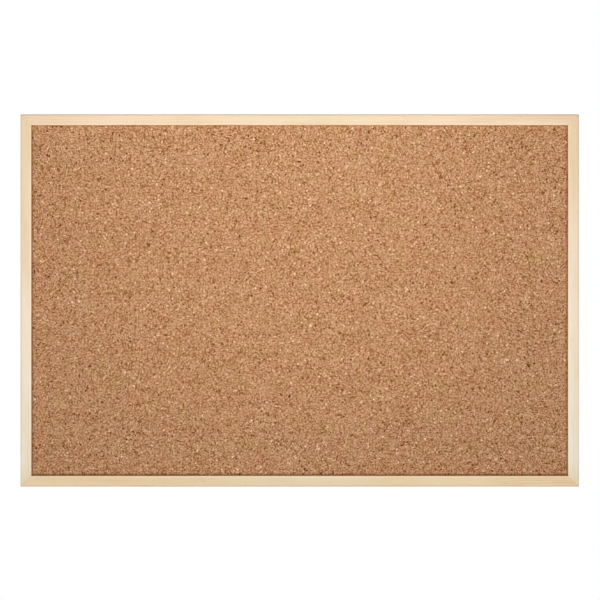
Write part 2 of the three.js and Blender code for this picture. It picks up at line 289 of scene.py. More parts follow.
def pineMaterial(name, along, seed, tints, soil, innerHighlight):
    p = pineFinish
    material, shader, add, place = newMaterial(name, Roughness=0.5, IOR=1.5)
    shader.inputs["Coat Weight"].default_value = p["coat"]
    shader.inputs["Coat Roughness"].default_value = p["coatRoughness"]
    flat = place
    place = add("VectorMath", (place, seed), operation="ADD")
    drawnOut = {}
    for what, (across, run) in p["runs"].items():
        scale = [1 / across] * 3
        scale[along] = 1 / run
        drawnOut[what] = add("VectorMath", (place, scale), operation="MULTIPLY")

    # Growth rings: pale wood darkens slowly through each ring and ends at a clear line
    growth = [1 / p["ring"]] * 3
    growth[along] = 0
    growth[1] *= p["ringTilt"]
    rings = add("VectorMath", (place, growth), "Value", operation="DOT_PRODUCT")
    for what in ("sway", "jitter"):
        wander = add("TexNoise", {"Vector": drawnOut[what], "Scale": 1.0, "Detail": 2.0})
        rings = add("Math", (wander, p[what], rings), operation="MULTIPLY_ADD")
    within = add("Math", (rings,), operation="FRACT")
    late = add("MapRange", {"Value": within, "From Min": 1 - p["lateWood"], "From Max": p["ringEnd"]},
               interpolation_type="SMOOTHSTEP")
    ended = add("MapRange", {"Value": within, "From Min": p["ringEnd"], "To Min": 1.0, "To Max": 0.0})
    late = add("Math", (late, ended), operation="MULTIPLY")
    strength = add("TexNoise", {"Vector": drawnOut["strength"], "Scale": 1.0, "Detail": 1.0})
    strength = add("MapRange", {"Value": strength, "From Min": 0.35, "From Max": 0.65,
                                "To Min": p["faintRing"]})
    late = add("Math", (late, strength), operation="MULTIPLY")
    fibre = add("TexNoise", {"Vector": drawnOut["fibre"], "Scale": 1.0, "Detail": 4.0, "Roughness": 0.65})
    cloud = add("TexNoise", {"Vector": drawnOut["cloud"], "Scale": 1.0, "Detail": 2.0})
    tone = add("Math", (late, p["lateTone"]), operation="MULTIPLY")
    tone = add("Math", (fibre, p["fibreTone"], tone), operation="MULTIPLY_ADD")
    tone = add("Math", (cloud, p["cloudTone"], tone), operation="MULTIPLY_ADD")
    wood = add("ValToRGB", (tone,), stops=p["tones"])

    canal = add("TexVoronoi", {"Vector": drawnOut["canal"], "Scale": 1.0}, "Distance")
    kind = add("SeparateColor", (canal.node.outputs["Color"],))
    rare = add("Math", (kind, 1 - p["canalShare"]), operation="GREATER_THAN")
    near = add("Math", (canal, p["canalReach"]), operation="LESS_THAN")
    share = add("Math", (rare, near), operation="MULTIPLY")
    share = add("Math", (share, p["canalTone"]), operation="MULTIPLY")
    wood = add("Mix", {0: share, 6: wood, 7: linear(p["canalBrown"])}, 2, data_type="RGBA")

    # Tint along the rail, painted shade on the outer arris, painted highlight beside the cork
    parts = add("SeparateXYZ", (add("VectorMath", (flat, tuple(middle / mm)), operation="SUBTRACT"),))
    half = (boardWidth if along == 0 else boardHeight) / 2 / mm
    run = add("MapRange", {"Value": parts.node.outputs[along], "From Min": -half, "From Max": half})
    tint = add("ValToRGB", (run,), stops=tints)
    wood = add("Mix", {0: 1.0, 6: wood, 7: tint}, 2, data_type="RGBA", blend_type="MULTIPLY")
    outer = add("Math", insideBoard(add, flat), operation="MINIMUM")
    # Painted shade on the rounded outer arris, a thin darker outline
    arrisShaded = add("MapRange", {"Value": outer, "From Max": p["arrisShadeBand"], "To Min": 1.0, "To Max": 0.0},
                 interpolation_type="SMOOTHSTEP")
    wood = add("Mix", {0: arrisShaded, 6: wood, 7: linear(soil)}, 2, data_type="RGBA", blend_type="MULTIPLY")
    # Painted highlight on the inner arris, beside the cork
    face = railFace / mm
    highlit = add("MapRange", {"Value": outer, "From Min": face - p["highlightBand"], "From Max": face,
                             "To Min": 1.0, "To Max": innerHighlight}, interpolation_type="SMOOTHSTEP")
    wood = add("Mix", {0: 1.0, 6: wood, 7: highlit}, 2, data_type="RGBA", blend_type="MULTIPLY")

    height = add("Math", (late, p["ringRise"], fibre), operation="MULTIPLY_ADD")
    bump = add("Bump", {"Strength": 0.35, "Distance": p["relief"] * mm, "Height": height})
    early, dense = p["roughness"]
    rough = add("MapRange", {"Value": tone, "From Min": 0.2, "From Max": 0.9, "To Min": early,
                             "To Max": dense})
    wire(shader, Base_Color=wood, Normal=bump, Roughness=rough)
    return material


# Hardboard: wood fibre pressed hot on a wire screen. Brown and matt, with pads between the marks
# of the wires, clots of fibre, and odd flecks of bark and pale wood.
hardboardFinish = {
    "screen": 1.6,  # mm between wires, a little coarse so that it shows
    "padEdge": 0.45,  # of a pad's height, where its top levels off
    "padTone": 0.045,
    "fibre": 0.5,  # mm
    "fibreTone": 0.6,
    "clot": 3.4,  # mm
    "clotTone": 0.62,
    "patch": 70,  # mm
    "patchTone": 0.12,
    "fleck": 1.5,  # mm
    "fleckShare": 0.06,  # dark ones, and as many pale ones
    "fleckReach": 0.42,  # of its own size, for the largest
    "darkTone": -0.24,
    "paleTone": 0.2,
    "tone": -0.13,
    "browns": [(0.1, "#3f2818"), (0.32, "#65442b"), (0.55, "#83603f"), (0.78, "#a27c58"),
               (0.95, "#c09c74")],
    "relief": 0.12,  # mm
    "padRise": 0.35,  # of the relief
}


def hardboardMaterial():
    h = hardboardFinish
    material, shader, add, place = newMaterial("pressed_hardboard", Roughness=0.8, IOR=1.5)
    stray = add("TexNoise", {"Vector": place, "Scale": 1 / h["clot"], "Detail": 5.0, "Roughness": 0.65},
                "Color")
    stray = add("VectorMath", {0: stray, "Scale": h["fleck"]}, operation="SCALE")
    strayed = add("VectorMath", (place, stray), operation="ADD")
    turns = add("VectorMath", {0: strayed, "Scale": math.pi / h["screen"]}, operation="SCALE")
    waves = add("VectorMath", (add("VectorMath", (turns,), operation="SINE"),), operation="ABSOLUTE")
    waves = add("SeparateXYZ", (waves,))
    pad = add("Math", (waves, waves.node.outputs["Z"]), operation="MULTIPLY")
    pad = add("MapRange", {"Value": pad, "From Max": h["padEdge"], "To Min": -1.0},
              interpolation_type="SMOOTHSTEP")
    fibre = add("TexNoise", {"Vector": place, "Scale": 1 / h["fibre"], "Detail": 6.0, "Roughness": 0.75})
    patch = add("TexNoise", {"Vector": place, "Scale": 1 / h["patch"], "Detail": 3.0})
    clot = add("TexNoise", {"Vector": place, "Scale": 1 / h["clot"], "Detail": 5.0, "Roughness": 0.7})
    fleck = add("TexVoronoi", {"Vector": strayed, "Scale": 1 / h["fleck"]}, "Distance")
    kind = add("SeparateColor", (fleck.node.outputs["Color"],))
    reach = add("Math", (kind.node.outputs["Green"], h["fleckReach"]), operation="MULTIPLY")
    near = add("Math", (fleck, reach), operation="LESS_THAN")
    dark = add("Math", (kind, 1 - h["fleckShare"]), operation="GREATER_THAN")
    dark = add("Math", (dark, near), operation="MULTIPLY")
    pale = add("Math", (kind, h["fleckShare"]), operation="LESS_THAN")
    pale = add("Math", (pale, near), operation="MULTIPLY")
    tone = h["tone"]
    for what, weight in ((patch, "patchTone"), (clot, "clotTone"), (fibre, "fibreTone"), (pad, "padTone"),
                         (dark, "darkTone"), (pale, "paleTone")):
        tone = add("Math", (what, h[weight], tone), operation="MULTIPLY_ADD")
    brown = add("ValToRGB", (tone,), stops=h["browns"])
    height = add("Math", (pad, h["padRise"], fibre), operation="MULTIPLY_ADD")
    bump = add("Bump", {"Strength": 0.6, "Distance": h["relief"] * mm, "Height": height})
    wire(shader, Base_Color=brown, Normal=bump)
    return material


# Softboard: felted wood fibre, barely pressed. Pale brown and fluffy, and hidden in the panel.
softboardFinish = {
    "fibre": 1.1,  # mm
    "browns": [(0.3, "#8d7150"), (0.7, "#c0a57e")],
    "relief": 0.3,  # mm
}


def softboardMaterial():
    s = softboardFinish
    material, shader, add, place = newMaterial("felted_softboard", Roughness=0.95, IOR=1.4)
    fibre = add("TexNoise", {"Vector": place, "Scale": 1 / s["fibre"], "Detail": 6.0, "Roughness": 0.7})
    brown = add("ValToRGB", (fibre,), stops=s["browns"])
    bump = add("Bump", {"Strength": 0.8, "Distance": s["relief"] * mm, "Height": fibre})
    wire(shader, Base_Color=brown, Normal=bump)
    return material


# Bright zinc plate on pressed steel: cool grey metal with soft reflections and faint rolling marks.
zincFinish = {
    "mark": (0.125, 2),  # mm across and along the strip
    "bloom": 2.5,  # mm
    "greys": [(0.3, "#b4b9bd"), (0.7, "#d3d7da")],
    "roughness": (0.2, 0.42),
    "relief": 0.02,  # mm
}


def zincMaterial():
    z = zincFinish
    material, shader, add, place = newMaterial("bright_zinc_plate", Metallic=1.0)
    across, run = z["mark"]
    along = add("VectorMath", (place, (1 / across, 1 / across, 1 / run)), operation="MULTIPLY")
    rolled = add("TexNoise", {"Vector": along, "Scale": 1.0, "Detail": 3.0})
    bloom = add("TexNoise", {"Vector": place, "Scale": 1 / z["bloom"], "Detail": 3.0})
    grey = add("ValToRGB", (bloom,), stops=z["greys"])
    smooth, worn = z["roughness"]
    rough = add("MapRange", {"Value": rolled, "To Min": smooth, "To Max": worn})
    bump = add("Bump", {"Strength": 0.15, "Distance": z["relief"] * mm, "Height": rolled})
    wire(shader, Base_Color=grey, Normal=bump, Roughness=rough)
    return material


# Cold rolled steel strip: darker, unplated metal, scratched as it was driven in.
nailFinish = {
    "scratch": 0.25,  # mm
    "greys": [(0.3, "#77797c"), (0.7, "#a2a4a6")],
    "roughness": (0.3, 0.55),
}


def nailSteelMaterial():
    n = nailFinish
    material, shader, add, place = newMaterial("rolled_strip_steel", Metallic=1.0)
    scratch = add("TexNoise", {"Vector": place, "Scale": 1 / n["scratch"], "Detail": 4.0,
                               "Distortion": 0.8})
    grey = add("ValToRGB", (scratch,), stops=n["greys"])
    smooth, worn = n["roughness"]
    rough = add("MapRange", {"Value": scratch, "To Min": smooth, "To Max": worn})
    wire(shader, Base_Color=grey, Roughness=rough)
    return material


# Moulded rubber: near black and matt, with the fine grain of its spark-eroded mould.
rubberFinish = {
    "grain": 0.25,  # mm
    "blacks": [(0.3, "#1d1d1e"), (0.7, "#2f2f31")],
    "roughness": (0.62, 0.85),
    "relief": 0.03,  # mm
}


def rubberMaterial():
    r = rubberFinish
    material, shader, add, place = newMaterial("moulded_rubber", IOR=1.52)
    grain = add("TexNoise", {"Vector": place, "Scale": 1 / r["grain"], "Detail": 3.0})
    black = add("ValToRGB", (grain,), stops=r["blacks"])
    smooth, rubbed = r["roughness"]
    rough = add("MapRange", {"Value": grain, "To Min": smooth, "To Max": rubbed})
    bump = add("Bump", {"Strength": 0.3, "Distance": r["relief"] * mm, "Height": grain})
    wire(shader, Base_Color=black, Normal=bump, Roughness=rough)
    return material


cork = corkMaterial()
hardboard = hardboardMaterial()
softboard = softboardMaterial()
zinc = zincMaterial()
nailSteel = nailSteelMaterial()
rubber = rubberMaterial()
print("materials")


# An object of one mesh, with its faces turned outwards
def meshObject(name, points, faces):
    mesh = bpy.data.meshes.new(name)
    mesh.from_pydata([tuple(p) for p in points], [], faces)
    tidy = bmesh.new()
    tidy.from_mesh(mesh)
    bmesh.ops.recalc_face_normals(tidy, faces=tidy.faces)
    tidy.to_mesh(mesh)
    tidy.free()
    piece = bpy.data.objects.new(name, mesh)
    bpy.context.scene.collection.objects.link(piece)
    return piece


# Faces of a grid of points, row by row, that may close on itself across its columns
def gridFaces(rows, columns, closed=False):
    faces = []
    for i in range(rows - 1):
        for j in range(columns if closed else columns - 1):
            k = (j + 1) % columns
            faces.append((i * columns + j, (i + 1) * columns + j, (i + 1) * columns + k, i * columns + k))
    return faces


# A solid through closed loops of points, all with the same count
def skin(name, loops):
    rows, columns = len(loops), len(loops[0])
    faces = gridFaces(rows, columns, closed=True)
    faces.append(tuple(range(columns)))
    faces.append(tuple(range((rows - 1) * columns, rows * columns)))
    return meshObject(name, [p for loop in loops for p in loop], faces)


def circle(radius, steps):
    for i in range(steps):
        angle = 2 * math.pi * i / steps
        yield radius * math.cos(angle), radius * math.sin(angle)


def arc(centre, radius, fromDegrees, toDegrees, steps):
    for i in range(steps + 1):
        angle = math.radians(fromDegrees + (toDegrees - fromDegrees) * i / steps)
        yield centre[0] + radius * math.cos(angle), centre[1] + radius * math.sin(angle)


overrun = 1 * mm  # how far a cutter stands out of the piece that it cuts


def cutAway(piece, cutters):
    for cutter in cutters:
        modifier = piece.modifiers.new("cut", "BOOLEAN")
        modifier.operation = "DIFFERENCE"
        modifier.solver = "EXACT"
        modifier.object = cutter
        bpy.context.view_layer.update()
        shaped = bpy.data.meshes.new_from_object(piece.evaluated_get(bpy.context.evaluated_depsgraph_get()))
        piece.modifiers.clear()
        piece.data = shaped


# Edges that turn by more than so many degrees stay sharp
def finishPiece(piece, material, body, node, smooth):
    mesh = piece.data
    mesh.materials.clear()
    mesh.materials.append(material)
    mesh.polygons.foreach_set("use_smooth", [True] * len(mesh.polygons))
    mesh.set_sharp_from_angle(angle=math.radians(smooth))
    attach(piece, body)
    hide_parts(node)


# Where the frame puts the hangers: the eye's middle is the hinge of the ring
strapEye = 1.8  # outer radius of a strap's eye
hangers = {}
for side in ("left", "right"):
    strapLow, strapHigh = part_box("strap_" + side)
    screwLow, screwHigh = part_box("screw_" + side)
    hangers[side] = {
        "x": (strapLow.x + strapHigh.x) / 2,
        "back": strapLow.y,  # the strap's face on the rail
        "eyeZ": strapHigh.z - strapEye * mm,
        "screwZ": (screwLow.z + screwHigh.z) / 2,
        "screwTop": screwHigh.y,
        "screwTip": screwLow.y,
    }


# Rails: the moulding is swept along each side and mitred, and its arrises wander a little,
# as sandpaper leaves them.
rail = {
    "frontLip": 3.2,
    "backLip": 2.7,
    "groove": 4,
    "outerArris": 1.2,
    "innerArris": 0.6,
    "backArris": 0.5,
    "mitreGap": 0.1,
    "wander": 0.1,  # of a worn arris, from side to side
    "wanderRun": 21,  # along the rail
    "arcSteps": 8,
    "step": 5,  # between sections along the rail
}
sideWood = {
    "tints": [(0, "#f6ecd6"), (0.07, "#fefcf4"), (0.14, "#fefcf4"), (0.5, "#fcf2e9"), (0.87, "#efddc3")],
    # painted shade on the outer arris
    "soil": "#e0d2bf",
    # painted highlight beside the cork
    "innerHighlight": 1.12,
}
rails = {
    "bottom_rail": {
        "turn": 0,  # quarter turns
        "seed": (13.0, 7.0, 41.0),
        # from the left end, or from the lower end of a side rail
        "tints": [(0, "#f7e4c7"), (0.13, "#f6e3c6"), (0.5, "#f0e4cd"), (0.87, "#f6e4c6")],
        "soil": "#dccdb9",  # painted shade on the outer arris
        "innerHighlight": 1.22,  # how much paler the wood is beside the cork, a painted highlight
    },
    "right_rail": {"turn": 1, "seed": (211.0, 5.0, 3.0), **sideWood},
    "top_rail": {
        "turn": 2,
        "seed": (77.0, 91.0, 19.0),
        "tints": [(0, "#f2dfcb"), (0.13, "#f2dfcc"), (0.5, "#e6d8c3"), (0.87, "#f2dfcc")],
        # painted shade on the outer arris, darkest on the top rail
        "soil": "#cdbda6",
        # painted highlight beside the cork
        "innerHighlight": 1.08,
    },
    "left_rail": {"turn": 3, "seed": (5.0, 63.0, 301.0), **sideWood},
}
nail = {
    "inset": 3.2,  # from the outer faces to the middle of the legs
    "leg": 5,
    "steel": 0.6,
    "bend": 1.0,  # outer radius
    "bendSteps": 6,
    "burr": 0.06,
    "grind": 0.9,  # height of the sharpened edge
    "ground": 0.2,  # off each side of it
    "gap": 0.15,  # around the nail in its pocket
    "pocketDepth": 10.5,
}
pilotHole = {"radius": 1.45, "depth": 10.6, "sides": 32}


# Points as (depth from the back towards the front, height above the outer face), and whether
# sandpaper wears them
def railSection():
    depth, face = backY - frontY, railFace
    bed, lip = face - rail["groove"] * mm, rail["backLip"] * mm
    inner, outer, back = rail["innerArris"] * mm, rail["outerArris"] * mm, rail["backArris"] * mm
    front = depth - rail["frontLip"] * mm
    section = [(0, face), (lip, face), (lip, bed), (front, bed), (front, face)]
    worn = [False] * len(section)
    for centre, radius, start, end in (
        ((depth - inner, face - inner), inner, 90, 0),
        ((depth - outer, outer), outer, 0, -90),
        ((back, back), back, 270, 180),
    ):
        section += arc(centre, radius, start, end, rail["arcSteps"])
        worn += [True] * (rail["arcSteps"] + 1)
    return section, worn


# A V-nail's outline, drawn inwards by a distance: a strip bent to a right angle
def nailOutline(inward):
    n = nail
    half, leg = n["steel"] / 2 - inward, n["leg"] - inward
    centre = [n["bend"] - n["steel"] / 2] * 2
    outline = list(arc(centre, n["bend"] - inward, 180, 270, n["bendSteps"]))
    outline += [(leg, -half), (leg, half)]
    outline += arc(centre, n["bend"] - n["steel"] + inward, 270, 180, n["bendSteps"])
    outline += [(half, leg), (-half, leg)]
    return outline


# A solid with a nail's outline at one corner of the frame, through sections of (y, inward)
def nailSolid(name, sideX, sideZ, sections):
    x = middle.x + sideX * (boardWidth / 2 - nail["inset"] * mm)
    z = middle.z + sideZ * (boardHeight / 2 - nail["inset"] * mm)
    return skin(name, [[(x - sideX * u * mm, y, z - sideZ * v * mm) for u, v in nailOutline(inward)]
                       for y, inward in sections])


def makePockets():
    sections = [(y, -nail["gap"]) for y in (backY + overrun, backY - nail["pocketDepth"] * mm)]
    return {(sideX, sideZ): nailSolid("nail_pocket", sideX, sideZ, sections)
            for sideX in (-1, 1) for sideZ in (-1, 1)}


def makePilot(hanger):
    radius = pilotHole["radius"] * mm
    loops = [[(hanger["x"] + u, y, hanger["screwZ"] + v) for u, v in circle(radius, pilotHole["sides"])]
             for y in (backY + overrun, backY - pilotHole["depth"] * mm)]
    return skin("pilot_hole", loops)


def makeRail(name, turn, seed, tints, soil, innerHighlight, cutters):
    axis = 0 if turn % 2 == 0 else 2
    material = pineMaterial("planed_pine_" + name.split("_")[0], axis, seed, tints, soil, innerHighlight)
    section, worn = railSection()
    half = (boardWidth if axis == 0 else boardHeight) / 2
    reach = (boardHeight if axis == 0 else boardWidth) / 2
    flat = half - railFace - rail["step"] * mm
    stations = np.linspace(-flat, flat, int(2 * flat / (rail["step"] * mm)) + 1)
    spin = Matrix.Rotation(-turn * math.pi / 2, 3, "Y")
    loops = []
    for station in (-math.inf, *stations, math.inf):
        loop = []
        for (deep, high), isWorn in zip(section, worn):
            place = station
            if math.isinf(station):
                place = math.copysign(half - high - rail["mitreGap"] * mm / math.sqrt(2), station)
            elif isWorn:
                along = station / mm / rail["wanderRun"] + seed[0]
                sway = noise.noise(Vector((along, deep / mm, high / mm)))
                sway *= rail["wander"] * mm / 2
                deep -= sway if deep > (backY - frontY) / 2 else -sway
                high -= sway if high > railFace / 2 else -sway
            local = spin @ Vector((place, 0, high - reach))
            loop.append((middle.x + local.x, backY - deep, middle.z + local.z))
        loops.append(loop)
    piece = skin(name.replace("_rail", "_moulding"), loops)
    cutAway(piece, cutters)
    finishPiece(piece, material, "board", name, smooth=35)


def makeRails():
    pockets = makePockets()
    pilots = {side: makePilot(hangers[side]) for side in hangers}
    inRail = {
        "bottom_rail": [pockets[-1, -1], pockets[1, -1]],
        "right_rail": [pockets[1, -1], pockets[1, 1], pilots["right"]],
        "top_rail": [pockets[-1, 1], pockets[1, 1]],
        "left_rail": [pockets[-1, -1], pockets[-1, 1], pilots["left"]],
    }
    for name, values in rails.items():
        makeRail(name, cutters=inRail[name], **values)
    for cutter in [*pockets.values(), *pilots.values()]:
        bpy.data.objects.remove(cutter)


makeRails()
print("rails")


# Cork: the sheet is sanded, but its granules still stand up a little, and the frame presses
# its edge in.
corkSheet = {
    "pitch": 1.62,  # between mesh points
    "granule": 2.6,
    "relief": 0.07,  # from granule to granule
    "dome": 0.1,  # of each granule
    "pitShare": 0.05,  # of the granules
    "pit": 0.2,
    "pinch": 0.2,  # by the frame's lip
    "reveal": 0.3,  # of the pinched edge
    "shoulder": 0.9,  # from there to the full height
    "seed": 4,
}


# Height at each point of the nearest of a field of scattered granules, in millimetres
def granuleHeights(x, z):
    c = corkSheet
    rng = np.random.default_rng(c["seed"])
    across = int(x.max() / c["granule"]) + 4  # cells, with a border of them round the sheet
    up = int(z.max() / c["granule"]) + 4
    centres = rng.random((across, up, 2))
    heights = rng.normal(0, c["relief"], (across, up))
    heights -= (rng.random((across, up)) < c["pitShare"]) * c["pit"]
    cellX = np.floor(x / c["granule"]).astype(int)
    cellZ = np.floor(z / c["granule"]).astype(int)
    nearest = np.full(x.shape, np.inf)
    found = np.zeros(x.shape)
    for dx in (-1, 0, 1):
        for dz in (-1, 0, 1):
            i = np.clip(cellX + dx + 1, 0, across - 1)
            k = np.clip(cellZ + dz + 1, 0, up - 1)
            gapX = (cellX + dx + centres[i, k, 0]) * c["granule"] - x
            gapZ = (cellZ + dz + centres[i, k, 1]) * c["granule"] - z
            away = np.hypot(gapX, gapZ)
            closer = away < nearest
            nearest = np.where(closer, away, nearest)
            found = np.where(closer, heights[i, k], found)
    return found - c["dome"] * (nearest / c["granule"]) ** 2


# A slab whose front is a grid of points and whose back is flat
def slab(name, grid, backPlane):
    rows, columns = grid.shape[:2]
    points = grid.reshape(-1, 3).tolist()
    faces = gridFaces(rows, columns)
    rim = [i * columns for i in range(rows)]
    rim += [(rows - 1) * columns + j for j in range(1, columns)]
    rim += [i * columns + columns - 1 for i in range(rows - 2, -1, -1)]
    rim += list(range(columns - 2, 0, -1))
    start, count = len(points), len(rim)
    points += [(points[i][0], backPlane, points[i][2]) for i in rim]
    faces += [(rim[i], rim[(i + 1) % count], start + (i + 1) % count, start + i) for i in range(count)]
    points.append((middle.x, backPlane, middle.z))
    faces += [(start + i, start + (i + 1) % count, start + count) for i in range(count)]
    return meshObject(name, points, faces)


# A grid over a box, and how far each of its points is from the box's nearest edge
def sheetGrid(low, high, stations):
    gridX, gridZ = np.meshgrid(stations(low.x, high.x), stations(low.z, high.z), indexing="ij")
    return gridX, gridZ, np.minimum.reduce([gridX - low.x, high.x - gridX, gridZ - low.z, high.z - gridZ])


def makeCork():
    c = corkSheet
    low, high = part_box("cork_sheet")
    hidden = railFace - (low.x - leftX) + c["reveal"] * mm  # from the sheet's edge to where it rises

    def stations(first, last):
        steps = int((last - first - 2 * hidden) / (c["pitch"] * mm))
        inner = np.linspace(first + hidden, last - hidden, steps + 1)
        return np.concatenate([[first, first + hidden / 2], inner, [last - hidden / 2, last]])

    gridX, gridZ, edge = sheetGrid(low, high, stations)
    rise = np.clip((edge - hidden) / (c["shoulder"] * mm), 0, 1)
    rise = rise * rise * (3 - 2 * rise)
    bumps = granuleHeights((gridX - low.x) / mm, (gridZ - low.z) / mm) * mm
    front = low.y + c["pinch"] * mm * (1 - rise) - bumps * rise
    piece = slab("cork_face_sheet", np.stack([gridX, front, gridZ], -1), high.y)
    finishPiece(piece, cork, "board", "cork_sheet", smooth=50)


makeCork()
print("cork")


# Hardboard back: a little wavy, as a thin sheet dries, with arrises broken by the saw
hardboardSheet = {
    "pitch": 8,
    "wave": 0.12,
    "waveLength": 110,
    "waveSeed": 3.7,
    "arris": 0.35,
    "level": 20,  # from the edge to where it waves fully
}


def makeHardboard():
    h = hardboardSheet
    low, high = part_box("hardboard_back")
    arris = h["arris"] * mm

    def stations(first, last):
        inner = np.linspace(first + arris, last - arris, int((last - first) / (h["pitch"] * mm)) + 1)
        return np.concatenate([[first], inner, [last]])

    def waveAt(x, z):
        return noise.noise(Vector((x, z, h["waveSeed"])) / (h["waveLength"] * mm))

    gridX, gridZ, edge = sheetGrid(low, high, stations)
    free = np.clip(edge / (h["level"] * mm), 0, 1)
    wave = np.vectorize(waveAt)(gridX, gridZ)
    back = high.y + wave * free * h["wave"] * mm - (edge < arris / 2) * arris
    piece = slab("hardboard_sheet", np.stack([gridX, back, gridZ], -1), low.y)
    finishPiece(piece, hardboard, "board", "hardboard_back", smooth=30)


makeHardboard()
print("hardboard")


# Strap: one strip of steel folded round the ring's bar, its two layers held by the screw
strap = {
    "steel": 0.7,
    "layerGap": 0.03,
    "width": 6.2,
    "eye": strapEye,
    "fold": 1.0,  # radius where the upper layer leaves the eye
    "edge": 0.14,  # rounding of the strip's edges
    "endEdge": 0.6,  # the most that it takes of half the width, at the round end
    "endFlat": 7,  # degrees of the round end that are left flat
    "hole": 1.45,
    "holeCut": (-1, 3),  # how far its cutter reaches off the rail
    "holeSides": 40,
    "edgeSteps": 3,
    "endSteps": 10,
    "eyeSteps": 40,
    "foldSteps": 8,
}


# The strip's centre line, as (height off the rail, distance above the eye, half of its width)
def strapLine(drop):
    s = strap
    half, radius = s["width"] / 2, s["eye"] - s["steel"] / 2
    upper = 1.5 * s["steel"] + s["layerGap"]  # height of the second layer
    ends = [(-drop - half * math.cos(a), half * math.sin(a))
            for a in np.linspace(math.radians(s["endFlat"]), math.pi / 2, s["endSteps"])]
    line = [(s["steel"] / 2, z, w) for z, w in ends]
    foldY = upper + s["fold"]
    foldZ = -math.sqrt((radius + s["fold"]) ** 2 - (s["eye"] - foldY) ** 2)
    leave = math.degrees(math.atan2(foldZ, foldY - s["eye"]))
    line += [(y, z, half) for y, z in arc((s["eye"], 0), radius, 180, leave, s["eyeSteps"])]
    fold = list(arc((foldY, foldZ), s["fold"], leave + 180, 180, s["foldSteps"]))
    line += [(y, z, half) for y, z in fold[1:]]
    line += [(upper, z, w) for z, w in reversed(ends)]
    return line


def makeStrap(side):
    s = strap
    h = hangers[side]
    line = strapLine((h["eyeZ"] - h["screwZ"]) / mm)
    loops = []
    for i, (y, z, half) in enumerate(line):
        before, after = line[max(i - 1, 0)], line[min(i + 1, len(line) - 1)]
        run = Vector((after[0] - before[0], after[1] - before[1])).normalized()
        edge = min(s["edge"], s["endEdge"] * half)
        loop = []
        for turn, (signW, signT) in enumerate(((1, 1), (-1, 1), (-1, -1), (1, -1))):
            corner = (signW * (half - edge), signT * (s["steel"] / 2 - edge))
            for w, t in arc(corner, edge, 90 * turn, 90 * turn + 90, s["edgeSteps"]):
                loop.append((h["x"] + w * mm, h["back"] + (y - run.y * t) * mm,
                             h["eyeZ"] + (z + run.x * t) * mm))
        loops.append(loop)
    piece = skin("folded_strap_" + side, loops)
    hole = list(circle(s["hole"] * mm, s["holeSides"]))
    cutter = skin("strap_hole", [[(h["x"] + u, h["back"] + y * mm, h["screwZ"] + v) for u, v in hole]
                                 for y in s["holeCut"]])
    cutAway(piece, [cutter])
    bpy.data.objects.remove(cutter)
    finishPiece(piece, zinc, "board", "strap_" + side, smooth=30)


# Ring: round wire bent to a D, its ends meeting in the strap's eye
ring = {
    "wire": 1.6,
    "half": 4.2,  # from the middle to a side's centre line
    "side": 3.6,
    "corner": 1.2,
    "joint": 0.2,  # between the wire's ends
    "lean": 5.1,  # degrees, towards the rail
    "sides": 20,
    "arcSteps": 56,
    "cornerSteps": 10,
}


def makeRing(side):
    r = ring
    h = hangers[side]
    cornerX, archZ = r["half"] - r["corner"], r["corner"] + r["side"]
    line = [(r["joint"] / 2, 0)]
    line += arc((cornerX, r["corner"]), r["corner"], -90, 0, r["cornerSteps"])
    line += arc((0, archZ), r["half"], 0, 180, r["arcSteps"])
    line += arc((-cornerX, r["corner"]), r["corner"], 180, 270, r["cornerSteps"])
    line.append((-r["joint"] / 2, 0))
    lean = Matrix.Rotation(math.radians(r["lean"]), 3, "X")
    eye = Vector((h["x"], h["back"] + strap["eye"] * mm, h["eyeZ"]))
    loops = []
    for i, (x, z) in enumerate(line):
        before, after = line[max(i - 1, 0)], line[min(i + 1, len(line) - 1)]
        run = Vector((after[0] - before[0], 0, after[1] - before[1])).normalized()
        outward = Vector((-run.z, 0, run.x))
        loops.append([eye + lean @ (Vector((x, 0, z)) + outward * u + Vector((0, v, 0))) * mm
                      for u, v in circle(r["wire"] / 2, r["sides"])])
    piece = skin("wire_ring_" + side, loops)
    finishPiece(piece, zinc, "ring_" + side, "d_ring_" + side, smooth=40)


# Screw: pan head with a tapered cross recess, and a rolled thread
screw = {
    "diameter": 2.5,
    "core": 1.8,
    "pitch": 1.1,
    "ridge": 0.3,  # half of the thread's ridge, of its pitch
    "tip": 2.2,
    "tipCurve": 0.8,  # 1 for a straight taper
    "tipCut": 0.04,  # left off the point
    "neck": 0.02,  # between the thread and the head
    "head": 5,
    "headHeight": 1.4,
    "headEdge": 0.12,
    "rim": 0.35,
    "domeEnd": 88,  # degrees up the dome, and the rest is flat
    "recess": 2.8,
    "slot": 0.62,
    "recessTurn": 33,  # degrees
    "recessTaper": [(0.8, 1.35), (0, 1.0), (-0.95, 0.5), (-1.15, 0.1)],  # (above the head, its share)
    "sides": 40,
    "rowsPerPitch": 11,
    "edgeSteps": 3,
    "domeSteps": 14,
}


# The radius of the thread at a height below the head and an angle round it
def threadRadius(y, angle, tipY):
    s = screw
    phase = (y / s["pitch"] + angle / (2 * math.pi)) % 1
    crest = max(0, 1 - abs(phase - 0.5) / s["ridge"])
    fade = min(1, -y / s["pitch"])
    taper = min(1, (y - tipY) / s["tip"])
    return (s["core"] + (s["diameter"] - s["core"]) * crest * fade) / 2 * taper ** s["tipCurve"]


